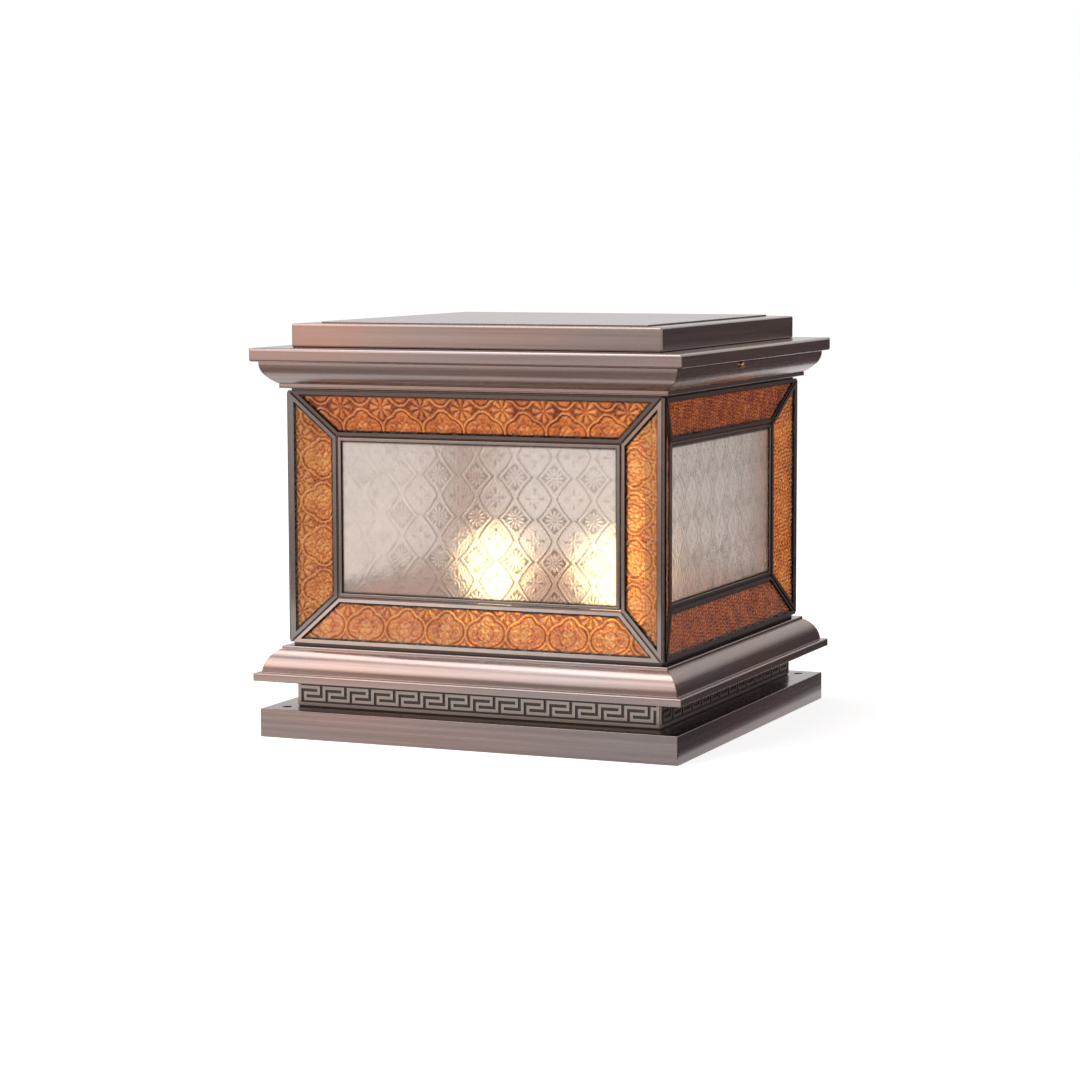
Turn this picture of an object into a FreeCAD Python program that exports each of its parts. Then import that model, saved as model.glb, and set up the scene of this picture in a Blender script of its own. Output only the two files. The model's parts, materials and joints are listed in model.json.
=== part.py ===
import FreeCAD, Part
import math
import os

# Deck post cap light: a square glazed lantern that is bolted to the top of a pier or deck post.
# Millimetres, +Z up. The origin is the centre of the base plate's underside, and the front is -Y.
# All four sides are alike, so each is made once as the front and turned about Z.
# A name that ends in _out or _in is a distance beyond or inside the faces of the glazed body.

# ---- overall sizes ----
body_half = 135.7            # half width over the glazed sides
body_height = 169.5
base_height = 19.1
neck_height = 18.8
moulding_height = 23.2       # base moulding
sill_height = 2.3            # dark line between base moulding and glazing
collar_flange = 1.1
gasket_thick = 0.5
cornice_height = 27.3
cap_height = 15.8
base_out = 14.3              # base plate
neck_in = 4.4                # neck, over its key fret
foot_out = 17.6              # base moulding's foot
fillet_out = 3.1             # small fillets of base moulding and cornice
fascia_out = 17.7
cap_in = 3.3
sheet = 1.5                  # folded plates
thin_sheet = 1.2             # pressed mouldings, collar and roof
fit_gap = 0.2                # rubber in its hole, glass in its channel, screw in the cornice

base_half = body_half + base_out
neck_half = body_half - neck_in
foot_half = body_half + foot_out
fillet_half = body_half + fillet_out
fascia_half = body_half + fascia_out
cap_half = body_half - cap_in

z_neck = base_height
z_moulding = z_neck + neck_height
z_sill = z_moulding + moulding_height
z_body = z_sill + sill_height
z_body_top = z_body + body_height
z_gasket = z_body_top + collar_flange
z_cornice = z_gasket + gasket_thick
z_cap = z_cornice + cornice_height
z_top = z_cap + cap_height

# ---- base plate, cable entry and fixing holes ----
fixing_inset = 13.5          # hole centre to plate edge
fixing_hole_r = 3.3
entry_hole_r = 10.2
grommet_bore_r = 5.0
grommet_flange_r = 13.0
grommet_flange = 2.0

# ---- screws ----
screw_r = 1.9                # tray screw
screw_hole_r = 2.2
screw_head_r = 4.0
screw_head = 2.4
screw_end = 1.0              # thread past the nut
thread_gap = 0.05
nut_width = 7.0
nut_height = 3.2
holder_screw_r = 1.45
holder_screw_at = 17.0       # from the lampholder's axis
holder_screw_depth = 6.0
holder_screw_room = 0.5      # hole beyond the screw's end
holder_head_r = 2.8
holder_head = 1.6

# ---- base moulding ----
foot_height = 5.7
foot_ledge = 4.3
top_fillet_height = 2.3
ovolo_top = 0.8              # end of the ovolo outside the top fillet
ovolo_rise = 2.25            # arc above its chord
moulding_seat = 11.3         # return on the neck, in from the fret's face
mitre_gap = 0.1
moulding_return = neck_half - moulding_seat

# ---- lamp tray ----
tray_gap = 1.5               # tray inside the moulding's return
tray_screw_inset = 7.5
tray_half = moulding_return - tray_gap
tray_screw_at = tray_half - tray_screw_inset
z_tray = z_moulding + sheet

# ---- neck and key fret ----
fret_thick = 0.8
fret_border = 0.925          # plain neck above and below the fret's rails
fret_margin = 0.9            # plain neck beyond each end bar
unit_cells = 9               # one turn of the key, in columns of one line's width
key_rows = 5
rail_gap = 1.4
neck_foot_flange = 14.0
nut_landing = 6.5            # top flange past the tray screws
neck_outer = neck_half - fret_thick
neck_top_flange = neck_outer - tray_screw_at + nut_landing

# ---- glazing ----
border_width = 33.7          # from the body's corner to the fold line
border_rise = 30.45          # from the sill to the fold line
recess = 8.7                 # clear pane behind the outer frame
glass_thick = 2.5
lip_thick = 0.9
lip = 2.2                    # visible width of a channel lip
stile_lip = 3.2              # the same along the corners
rail_lip = 2.5               # the same along top and bottom
came_groove = 1.4            # between two channels that are soldered together
bead_depth = 0.8             # solder bead below the channels' faces
bead_thick = 0.8
bead_lap = 0.3               # the beads run into each other at the corners
bead_gap = 0.1               # between a bead and the clear pane's channel
glass_hold = 1.2             # glass edge from its channel's back
corner_wall = 1.0
rail_wall = 0.5
pane_half = body_half - border_width
channel_depth = 2 * lip_thick + glass_thick + fit_gap

# ---- corner posts ----
post_blade = 3.0
post_side_gap = 0.27         # blade to the glazing on each side
post_tip_in = 1.2
post_back_gap = 0.43         # flange to the back of the channels
post_flange = 6.2            # width of each flange
post_reach = 8.0             # from the flange's face to the blade's inner end
corner_setback = (post_blade / 2 + post_side_gap) * math.sqrt(2)     # side's edge from the corner
slope = math.atan2(recess, border_width - corner_setback)
post_tip = body_half - post_tip_in
# The flange's face runs parallel to the side, clear of the sloping channel at its inner end.
channel_back = body_half - channel_depth / math.cos(slope) - post_back_gap
channel_fall = (body_half - corner_setback + post_reach) * math.tan(slope)
post_face = (channel_back - channel_fall) / (1 - math.tan(slope))

# ---- lampholders ----
lamp_spacing = 86.0
holder_r = 21.0
holder_foot_r = 23.0
holder_foot = 4.0
holder_height = 38.0
holder_floor = 9.0
holder_wall_gap = 0.3        # bulb cap in the holder's bore
contact_boss = 1.2
contact_boss_r = 4.0
contact_gap = 0.3
terminal_face = 24.0         # holder axis to the flat face where its leads enter
terminal_width = 16.0
terminal_height = 10.0
terminal_wall = 2.0          # holder wall left between its bore and the terminals
lamp_xs = (("left", -lamp_spacing / 2), ("right", lamp_spacing / 2))
z_contact = z_tray + holder_floor + contact_boss + contact_gap

# ---- bulbs ----
cap_r = 13.0                 # screw cap
cap_length = 26.5
cap_wall = 0.8
cap_depth = 13.0
cap_contact_r = 4.5
cap_taper_r = 11.0
cap_taper = 3.5
cap_shoulder = 1.5
bulb_r = 22.5
bulb_centre = 57.5           # globe centre above the end contact
bulb_neck_r = 12.0
bulb_neck_in = 12.5          # glass neck inside the cap
bulb_neck_over = 1.0
bulb_lean = 50.0             # degrees below the globe's centre where the waist begins
bulb_waist = 0.25            # waist's middle, as a share of its spread
bulb_wall = 0.7

# ---- terminal block, its leads and the tray's wire hole ----
block_length = 30.0
block_depth = 20.0
block_height = 14.0
block_gap = 10.0             # from the lampholders' terminal faces
well_r = 2.2
well_depth = 3.0
well_pitch = 10.0
wire_hole_r = 8.0
wire_hole_gap = 2.0          # to the terminal block
lead_r = 1.2
lead_pitch = 8.0
lead_height = 7.0
lead_bend = 0.45             # bend radius, as a share of the shorter run
block_y = terminal_face + block_gap + block_depth / 2
wire_hole_y = block_y - block_depth / 2 - wire_hole_gap - wire_hole_r

# ---- collar, cornice and roof ----
collar_in = 9.4              # upstand
collar_edge_in = 3.2
collar_width = 14.0          # flange inside the upstand
skirt_gap = 0.5              # roof skirt round the collar
return_lap = 2.8             # cornice's top return past the skirt
cornice_fillet_height = 3.3
hollow_out = 0.5             # start of the reversed curve outside the fillet
hollow_width = 6.6
hollow_height = 5.6
hollow_rise = 0.28
swell_width = 3.0
swell_rise = 0.8
swell_drop = 0.8             # end of the curve below the step
fascia_height = 9.2
fascia_round = 1.5
rim_seen = 15.0              # rim of the cap round the top plate
rim_lap = 9.0                # top plate on the rim
lid_thick = 1.2
collar_half = body_half - collar_in
collar_edge = body_half - collar_edge_in
skirt_half = collar_half + skirt_gap + thin_sheet
return_half = skirt_half - thin_sheet - return_lap
hollow_half = fillet_half + hollow_out
swell_half = hollow_half + hollow_width + swell_width

# ---- locking screws ----
lock_shift = 27.0            # from the middle of its side
lock_r = 1.4
lock_head_r = 2.2
lock_head = 1.8
lock_head_gap = 0.4          # head below the step
lock_seat_gap = 0.1
lock_tip_gap = 0.3
lock_reach = 4.4             # collar above the screw's axis
bush_r = 4.0
bush_length = 4.0
z_lock = z_cap - fascia_height - lock_head_gap - lock_head_r
z_collar = z_lock + lock_reach

SIDES = ("front", "right", "back", "left")
X = FreeCAD.Vector(1, 0, 0)
Z = FreeCAD.Vector(0, 0, 1)
ORIGIN = FreeCAD.Vector(0, 0, 0)
FAR = 2 * fascia_half + z_top    # longer than anything here


def save(node, *solids):
    shape = solids[0] if len(solids) == 1 else Part.makeCompound(list(solids))
    shape.exportStep("parts/%s.step" % node)


def at_front(u, v, w):
    """Point of the front side: u to the right, v up, w out from the lantern's axis."""
    return FreeCAD.Vector(u, -w, v)


def turned(shape, index):
    """The front's shape, turned to the side of that index."""
    copy = shape.copy()
    copy.rotate(ORIGIN, Z, 90 * index)
    return copy


def slab(half, z0, z1):
    return Part.makeBox(2 * half, 2 * half, z1 - z0, FreeCAD.Vector(-half, -half, z0))


def square_ring(outer, inner, z0, z1):
    return slab(outer, z0, z1).cut(slab(inner, z0, z1))


def upright(x, y, radius, z0, z1):
    """Vertical cylinder: a shank, a head or a hole."""
    return Part.makeCylinder(radius, z1 - z0, FreeCAD.Vector(x, y, z0), Z)


def four_corners(distance):
    return [(sx * distance, sy * distance) for sx in (-1, 1) for sy in (-1, 1)]


def radial(point):
    return FreeCAD.Vector(point[0], 0, point[1])


def revolved(points, x, y):
    """Solid of revolution about a vertical axis: points are (radius, z), arcs are three points."""
    edges = []
    here = points[0]
    for step in points[1:]:
        if len(step) == 3:
            middle, end = step[1], step[2]
            edges.append(Part.Arc(radial(here), radial(middle), radial(end)).toShape())
        else:
            end = step
            edges.append(Part.LineSegment(radial(here), radial(end)).toShape())
        here = end
    edges.append(Part.LineSegment(radial(here), radial(points[0])).toShape())
    solid = Part.Face(Part.Wire(edges)).revolve(ORIGIN, Z, 360)
    solid.translate(FreeCAD.Vector(x, y, 0))
    return solid


# ---- base plate: sheet tray, open below, holes for the post's anchors and the supply cable ----
def base_plate():
    outer = slab(base_half, 0, base_height)
    rounded = [e for e in outer.Edges if e.BoundBox.ZMax > base_height / 2]
    outer = outer.makeFillet(sheet / 2, rounded)
    plate = outer.cut(slab(base_half - sheet, 0, base_height - sheet))
    for x, y in four_corners(base_half - fixing_inset):
        plate = plate.cut(upright(x, y, fixing_hole_r, 0, base_height))
    return plate.cut(upright(0, 0, entry_hole_r, 0, base_height))


def cable_grommet():
    """Rubber ring with a flange on each face of the base plate's sheet."""
    under = base_height - sheet
    low = under - grommet_flange
    high = base_height + grommet_flange
    seat = entry_hole_r - fit_gap
    return revolved([(grommet_bore_r, low), (grommet_flange_r, low), (grommet_flange_r, under), (seat, under),
                     (seat, base_height), (grommet_flange_r, base_height), (grommet_flange_r, high),
                     (grommet_bore_r, high)], 0, 0)


# ---- neck: black channel ring with the key fret on its four faces ----
def neck_band():
    band = square_ring(neck_outer, neck_outer - sheet, z_neck, z_moulding)
    foot = square_ring(neck_outer, neck_outer - neck_foot_flange, z_neck, z_neck + sheet)
    top = square_ring(neck_outer, neck_outer - neck_top_flange, z_moulding - sheet, z_moulding)
    band = band.fuse([foot, top]).removeSplitter()
    for x, y in four_corners(tray_screw_at):
        band = band.cut(upright(x, y, screw_hole_r, z_moulding - sheet, z_moulding))
    return band


def fret_strip():
    """One side's fret: an unbroken key line between two rails, in whole turns from end to end."""
    row = (neck_height - 2 * fret_border - 2 * rail_gap) / (key_rows + 2)
    end = neck_half - fret_margin
    units = round((2 * end / row - 3) / unit_cells)
    last = units * unit_cells
    column = 2 * end / (last + 3)
    low = z_neck + fret_border
    high = z_moulding - fret_border
    key_left = -end + 2 * column
    key_low = low + row + rail_gap

    def bar(u0, u1, v0, v1):
        return Part.makeBox(u1 - u0, fret_thick, v1 - v0, at_front(u0, v0, neck_half))

    def key_bar(column0, column1, row0, row1):
        return bar(key_left + column0 * column, key_left + column1 * column,
                   key_low + row0 * row, key_low + row1 * row)

    bars = [bar(-end, end, low, low + row), bar(-end, end, high - row, high),
            bar(-end, column - end, low, high), bar(end - column, end, low, high)]
    for left in range(0, last, unit_cells):
        bars.append(key_bar(left, left + 8, 0, 1))            # bottom line
        bars.append(key_bar(left, left + 1, 0, 3))            # up its left end
        bars.append(key_bar(left, left + 6, 2, 3))            # middle line
        bars.append(key_bar(left + 5, left + 6, 2, 5))        # up to the top
        bars.append(key_bar(left + 7, left + 8, 0, 5))        # right end
        bars.append(key_bar(left - 2, left + 6, 4, 5))        # top line, from the turn before
    bars.append(key_bar(last - 2, last + 1, 4, 5))
    return bars[0].fuse(bars[1:]).removeSplitter()


# ---- pressed mouldings: one sheet profile, cut to length with mitred ends ----
def mitre_wedge(setback, z0, z1):
    """The front's quarter of the plan: |u| is at most w less the setback."""
    reach = FAR - setback
    corners = [at_front(0, z0, setback), at_front(reach, z0, FAR), at_front(-reach, z0, FAR)]
    face = Part.Face(Part.makePolygon(corners + corners[:1]))
    return face.extrude(Z * (z1 - z0))


def straight(*points):
    """Runs of the profile through (w, z) points."""
    ends = [FreeCAD.Vector(0, -w, z) for w, z in points]
    return [Part.LineSegment(a, b).toShape() for a, b in zip(ends, ends[1:])]


def bulged(start, end, rise):
    """Arc of the profile from start up to end, that stands out from its chord by the rise."""
    (w0, z0), (w1, z1) = start, end
    chord = math.hypot(w1 - w0, z1 - z0)
    middle = ((w0 + w1) / 2 + rise * (z1 - z0) / chord, (z0 + z1) / 2 - rise * (w1 - w0) / chord)
    points = [FreeCAD.Vector(0, -w, z) for w, z in (start, middle, end)]
    return [Part.Arc(*points).toShape()]


def pressed_length(edges):
    """Sheet inside an open profile, as long as one side, with mitred ends."""
    face = Part.Wire(edges).makeOffset2D(thin_sheet, 2, True, True, True)
    bar = face.extrude(X * FAR)
    bar.translate(X * (-FAR / 2))
    return bar.common(mitre_wedge(mitre_gap / 2, 0, FAR))


def base_moulding():
    """Bottom fillet, convex ovolo and top fillet, with a return along the bottom and the top."""
    z_step = z_moulding + foot_height
    z_fillet = z_sill - top_fillet_height
    ledge = (foot_half - foot_ledge, z_step)
    shoulder = (fillet_half + ovolo_top, z_fillet)
    edges = straight((moulding_return, z_moulding), (foot_half, z_moulding), (foot_half, z_step), ledge)
    edges += bulged(ledge, shoulder, ovolo_rise)
    edges += straight(shoulder, (fillet_half, z_fillet), (fillet_half, z_sill), (moulding_return, z_sill))
    return pressed_length(edges)


def cornice():
    """Bottom fillet, reversed curve, step and upright fascia, with returns at bottom and top."""
    z_step = z_cap - fascia_height
    z_curve = z_cornice + cornice_fillet_height
    foot = (hollow_half, z_curve)
    turn = (hollow_half + hollow_width, z_curve + hollow_height)
    crown = (swell_half, z_step - swell_drop)
    corner = fascia_round * (1 - math.sqrt(0.5))
    under = [FreeCAD.Vector(0, -w, z) for w, z in ((fascia_half - fascia_round, z_step),
                                                   (fascia_half - corner, z_step + corner),
                                                   (fascia_half, z_step + fascia_round))]
    edges = straight((skirt_half, z_cornice), (fillet_half, z_cornice), (fillet_half, z_curve), foot)
    edges += bulged(foot, turn, hollow_rise)
    edges += bulged(turn, crown, swell_rise)
    edges += straight(crown, (swell_half, z_step), (fascia_half - fascia_round, z_step))
    edges.append(Part.Arc(*under).toShape())
    edges += straight((fascia_half, z_step + fascia_round), (fascia_half, z_cap), (return_half, z_cap))
    return pressed_length(edges)


# ---- glazing: each pane sits in its own channel, and the channels are soldered together ----
def inset_polygon(points, insets):
    """Flat polygon with its edge from point i to i + 1 moved inwards by insets[i]."""
    count = len(points)
    normal = (points[1] - points[0]).cross(points[2] - points[1]).normalize()
    sides = []
    for i in range(count):
        along = (points[(i + 1) % count] - points[i]).normalize()
        inward = normal.cross(along)
        sides.append((points[i] + inward * insets[i], along, inward))
    moved = []
    for i in range(count):
        start, along, inward = sides[i - 1]
        other_start, other_along, other_inward = sides[i]
        travel = (other_start - start).dot(other_inward) / along.dot(other_inward)
        moved.append(start + along * travel)
    return moved


def plate(points, depth0, depth1):
    """Prism behind a polygon whose corners run anticlockwise as seen from outside."""
    normal = (points[1] - points[0]).cross(points[2] - points[1]).normalize()
    face = Part.Face(Part.makePolygon(points + points[:1]))
    face.translate(normal * -depth0)
    return face.extrude(normal * -(depth1 - depth0))


def side_space(side_margin, end_margin):
    """Room of one glazed side: between its 45 degree corners and between sill and collar."""
    return mitre_wedge(corner_setback + side_margin, z_body + end_margin, z_body_top - end_margin)


def channel_and_glass(points, lips, insets):
    """A pane's channel, the pane held in it, and the outline of the channel's opening."""
    slot_start, slot_end = lip_thick, channel_depth - lip_thick
    body = plate(inset_polygon(points, insets), 0, channel_depth).common(side_space(0, 0))
    sight = inset_polygon(points, [a + b for a, b in zip(insets, lips)])
    hold = inset_polygon(points, [a + glass_hold - fit_gap for a in insets])
    edge = inset_polygon(points, [a + glass_hold for a in insets])
    slot = plate(hold, slot_start, slot_end).common(side_space(corner_wall, rail_wall))
    channel = body.cut(plate(sight, -channel_depth, 2 * channel_depth)).cut(slot)
    glass = plate(edge, slot_start + fit_gap / 2, slot_end - fit_gap / 2)
    return channel, glass.common(side_space(corner_wall + fit_gap, rail_wall + fit_gap)), sight


def glazed_side():
    """Clear pane, four amber panes that slope out from it, and their channels."""
    low, high = z_body + border_rise, z_body_top - border_rise
    deep = body_half - recess
    edge = body_half - corner_setback
    outer = [at_front(-edge, z_body, body_half), at_front(edge, z_body, body_half),
             at_front(edge, z_body_top, body_half), at_front(-edge, z_body_top, body_half)]
    inner = [at_front(-pane_half, low, deep), at_front(pane_half, low, deep),
             at_front(pane_half, high, deep), at_front(-pane_half, high, deep)]
    half_groove = came_groove / 2
    bead_reach = -half_groove - bead_gap
    centre_channel, clear, _ = channel_and_glass(inner, [lip] * 4, [half_groove] * 4)
    channels, ambers = [], []
    for i, name in enumerate(("bottom", "right", "top", "left")):
        j = (i + 1) % 4
        corners = [outer[i], outer[j], inner[j], inner[i]]
        outer_lip = stile_lip if name in ("left", "right") else rail_lip
        insets = [0, half_groove, half_groove, half_groove]
        channel, glass, sight = channel_and_glass(corners, [outer_lip, lip, lip, lip], insets)
        bead_outline = inset_polygon(corners, [0, -bead_lap, bead_reach, -bead_lap])
        bead = plate(bead_outline, bead_depth, bead_depth + bead_thick).common(side_space(0, 0))
        bead = bead.cut(plate(sight, -channel_depth, 2 * channel_depth)).cut(glass)
        channels.append(channel.fuse(bead))
        ambers.append((name, glass))
    border = channels[0].fuse(channels[1:]).removeSplitter()
    for _, glass in ambers:
        border = border.cut(glass)
    return border, centre_channel, clear, ambers


# ---- corner posts: a blade in each corner gap, with two flanges behind the glazing ----
def corner_post():
    half = post_blade / 2
    diagonal = math.sqrt(2)
    height = z_body_top - z_body
    inner_end = post_face - post_reach
    tip_axis = post_tip * diagonal - half
    blade = Part.makeBox(tip_axis - inner_end * diagonal, post_blade, height,
                         FreeCAD.Vector(inner_end * diagonal, -half, z_body))
    blade = blade.fuse(upright(tip_axis, 0, half, z_body, z_body_top))
    blade.rotate(ORIGIN, Z, -45)
    flange = Part.makeBox(post_flange, thin_sheet, height, at_front(inner_end, z_body, post_face))
    mirrored = Part.makeBox(thin_sheet, post_flange, height,
                            FreeCAD.Vector(post_face - thin_sheet, -inner_end - post_flange, z_body))
    return blade.fuse([flange, mirrored]).removeSplitter()


# ---- lamp tray, lampholders, bulbs and wiring ----
def lamp_tray():
    tray = slab(tray_half, z_moulding, z_tray)
    for x, y in four_corners(tray_screw_at):
        tray = tray.cut(upright(x, y, screw_hole_r, z_moulding, z_tray))
    for _, x in lamp_xs:
        for side in (-1, 1):
            tray = tray.cut(upright(x, side * holder_screw_at, screw_hole_r, z_moulding, z_tray))
    return tray.cut(upright(0, wire_hole_y, wire_hole_r, z_moulding, z_tray))


def lampholder(x):
    """Cup with a foot flange, a contact boss on its floor and a box of terminals at the back."""
    bore_r = cap_r + holder_wall_gap
    foot = z_tray + holder_foot
    top = z_tray + holder_height
    floor = z_tray + holder_floor
    boss = floor + contact_boss
    holder = revolved([(0, z_tray), (holder_foot_r, z_tray), (holder_foot_r, foot), (holder_r, foot),
                       (holder_r, top), (bore_r, top), (bore_r, floor), (contact_boss_r, floor),
                       (contact_boss_r, boss), (0, boss)], x, 0)
    low = z_tray + lead_height - terminal_height / 2
    box = Part.makeBox(terminal_width, terminal_face - holder_r / 2, terminal_height,
                       FreeCAD.Vector(x - terminal_width / 2, holder_r / 2, low))
    box = box.cut(upright(x, 0, bore_r + terminal_wall, low, low + terminal_height))
    holder = holder.fuse(box).removeSplitter()
    hole_end = z_tray + holder_screw_depth + holder_screw_room
    for side in (-1, 1):
        holder = holder.cut(upright(x, side * holder_screw_at, holder_screw_r + thread_gap, z_tray, hole_end))
    return holder


def bulb_cap(x):
    """Screw cap: a cup with a tapered insulating end."""
    taper = z_contact + cap_taper
    high = z_contact + cap_length
    inner = cap_r - cap_wall
    cup = high - cap_depth
    return revolved([(0, z_contact), (cap_contact_r, z_contact), (cap_taper_r, taper),
                     (cap_r, taper + cap_shoulder), (cap_r, high), (inner, high), (inner, cup),
                     (0, cup)], x, 0)


def bulb_glass(x):
    """Thin globe that narrows to a neck inside the cap."""
    centre = z_contact + bulb_centre
    neck_top = z_contact + cap_length + bulb_neck_over
    neck_end = z_contact + cap_length - bulb_neck_in
    lean = math.radians(bulb_lean)

    def globe(radius, neck):
        low = (radius * math.cos(lean), centre - radius * math.sin(lean))
        side = (radius, centre)
        waist = (neck + bulb_waist * (low[0] - neck), (low[1] + neck_top) / 2)
        return low, side, waist, (0, centre + radius)

    inner_r, inner_neck = bulb_r - bulb_wall, bulb_neck_r - bulb_wall
    low, side, waist, crown = globe(bulb_r, bulb_neck_r)
    low_in, side_in, waist_in, crown_in = globe(inner_r, inner_neck)
    outline = [(inner_neck, neck_end), (bulb_neck_r, neck_end), (bulb_neck_r, neck_top),
               ("arc", waist, low), ("arc", side, crown), crown_in,
               ("arc", side_in, low_in), ("arc", waist_in, (inner_neck, neck_top))]
    return revolved(outline, x, 0)


def terminal_block():
    block = Part.makeBox(block_length, block_depth, block_height,
                         FreeCAD.Vector(-block_length / 2, block_y - block_depth / 2, z_tray))
    top = z_tray + block_height
    for x in (-well_pitch, 0, well_pitch):
        for y in (block_y - well_pitch / 2, block_y + well_pitch / 2):
            block = block.cut(upright(x, y, well_r, top - well_depth, top))
    return block


def lead(x_side, step):
    """Insulated wire: out of the block along X, round one bend, into the holder's terminal face."""
    z = z_tray + lead_height
    y = block_y + step * lead_pitch / 2
    x0 = x_side * block_length / 2
    x1 = x_side * (lamp_spacing / 2 + step * lead_pitch / 2)
    bend = lead_bend * min(abs(x1 - x0), y - terminal_face)
    start = FreeCAD.Vector(x0, y, z)
    before = FreeCAD.Vector(x1 - x_side * bend, y, z)
    after = FreeCAD.Vector(x1, y - bend, z)
    short = bend * (1 - math.sqrt(0.5))
    on_arc = FreeCAD.Vector(x1 - x_side * short, y - short, z)
    path = Part.Wire([Part.LineSegment(start, before).toShape(), Part.Arc(before, on_arc, after).toShape(),
                      Part.LineSegment(after, FreeCAD.Vector(x1, terminal_face, z)).toShape()])
    circle = Part.Wire(Part.Circle(start, X, lead_r).toShape())
    return path.makePipeShell([circle], True, False)


def hexagon(x, y, bore_r, z0, z1):
    radius = nut_width / math.sqrt(3)
    turns = [k * math.pi / 3 for k in range(7)]
    corners = [FreeCAD.Vector(x + radius * math.cos(a), y + radius * math.sin(a), z0) for a in turns]
    prism = Part.Face(Part.makePolygon(corners)).extrude(Z * (z1 - z0))
    return prism.cut(upright(x, y, bore_r, z0, z1))


def fixing_screws():
    """Tray screws with their nuts, and the screws that hold the lampholders from below."""
    group = []
    nut_top = z_moulding - sheet
    nut_low = nut_top - nut_height
    for x, y in four_corners(tray_screw_at):
        shank = upright(x, y, screw_r, nut_low - screw_end, z_tray)
        head = upright(x, y, screw_head_r, z_tray, z_tray + screw_head)
        head = head.makeFillet(screw_head / 2, [head.Edges[0]])
        group.append(shank.fuse(head).removeSplitter())
        group.append(hexagon(x, y, screw_r + thread_gap, nut_low, nut_top))
    for _, x in lamp_xs:
        for y in (-holder_screw_at, holder_screw_at):
            shank = upright(x, y, holder_screw_r, z_moulding, z_tray + holder_screw_depth)
            head = upright(x, y, holder_head_r, z_moulding - holder_head, z_moulding)
            group.append(shank.fuse(head).removeSplitter())
    return group


# ---- roof: collar on the body, and the lift-off roof over it ----
def top_collar():
    flange = square_ring(collar_edge, collar_half - collar_width, z_body_top, z_gasket)
    upstand = square_ring(collar_half, collar_half - thin_sheet, z_body_top, z_collar)
    return flange.fuse(upstand).removeSplitter()


def side_bore(x_side, radius, x0, x1):
    start = FreeCAD.Vector(x_side * x0, -x_side * lock_shift, z_lock)
    return Part.makeCylinder(radius, x1 - x0, start, X * x_side)


def roof_skirt():
    """Square skirt that goes over the collar, with a threaded bush for each locking screw."""
    skirt = square_ring(skirt_half, skirt_half - thin_sheet, z_cornice, z_cap - thin_sheet)
    bushes = [side_bore(s, bush_r, skirt_half - thin_sheet / 2, skirt_half + bush_length) for s in (-1, 1)]
    skirt = skirt.fuse(bushes).removeSplitter()
    for s in (-1, 1):
        skirt = skirt.cut(side_bore(s, lock_r + thread_gap, collar_half, skirt_half + bush_length))
    return skirt


def cap_frame():
    wall = square_ring(cap_half, cap_half - thin_sheet, z_cap, z_top)
    rim = square_ring(cap_half, cap_half - rim_seen - rim_lap, z_top - thin_sheet, z_top)
    foot = square_ring(cap_half, return_half, z_cap, z_cap + thin_sheet)
    return wall.fuse([rim, foot]).removeSplitter()


def lock_screw(x_side):
    seat = swell_half + lock_seat_gap
    shank = side_bore(x_side, lock_r, collar_half + lock_tip_gap, seat)
    head = side_bore(x_side, lock_head_r, seat, seat + lock_head)
    rims = [e for e in head.Edges if len(e.Vertexes) == 1]
    rims = [e for e in rims if abs(e.BoundBox.Center.x) > seat + lock_head / 2]
    head = head.makeFillet(lock_head / 3, rims)
    return shank.fuse(head).removeSplitter()


os.makedirs("parts", exist_ok=True)

save("base_plate", base_plate())
save("cable_grommet", cable_grommet())
save("neck_band", neck_band())
strip = fret_strip()
save("key_frets", *[turned(strip, i) for i in range(4)])
save("lamp_tray", lamp_tray())
save("sill_frame", square_ring(collar_edge, collar_half - collar_width, z_sill, z_body))
post = corner_post()
save("corner_posts", *[turned(post, i) for i in range(4)])
save("top_collar", top_collar())
save("roof_gasket", square_ring(collar_edge, skirt_half + skirt_gap, z_gasket, z_cornice))
save("roof_skirt", roof_skirt())
save("cap_frame", cap_frame())
save("top_plate", slab(cap_half - rim_seen, z_top, z_top + lid_thick))
save("terminal_block", terminal_block())
save("fixing_screws", *fixing_screws())
save("lead_wires", *[lead(side, step) for side in (-1, 1) for step in (-1, 1)])

lower, upper = base_moulding(), cornice()
border, centre, clear, ambers = glazed_side()
for index, side in enumerate(SIDES):
    save("base_moulding_" + side, turned(lower, index))
    length = turned(upper, index)
    for x_side in (-1, 1):
        length = length.cut(side_bore(x_side, lock_r + fit_gap, skirt_half + bush_length, fascia_half))
    save("cornice_" + side, length)
    save("border_came_" + side, turned(border, index))
    save("centre_came_" + side, turned(centre, index))
    save("clear_pane_" + side, turned(clear, index))
    for place, glass in ambers:
        save("amber_%s_%s" % (side, place), turned(glass, index))

for name, x in lamp_xs:
    save("lampholder_" + name, lampholder(x))
    save("bulb_cap_" + name, bulb_cap(x))
    save("bulb_glass_" + name, bulb_glass(x))
    save("lock_screw_" + name, lock_screw(math.copysign(1, x)))
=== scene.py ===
import json
import math

import bmesh
import bpy
import numpy as np
from mathutils import Matrix, Vector

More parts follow.
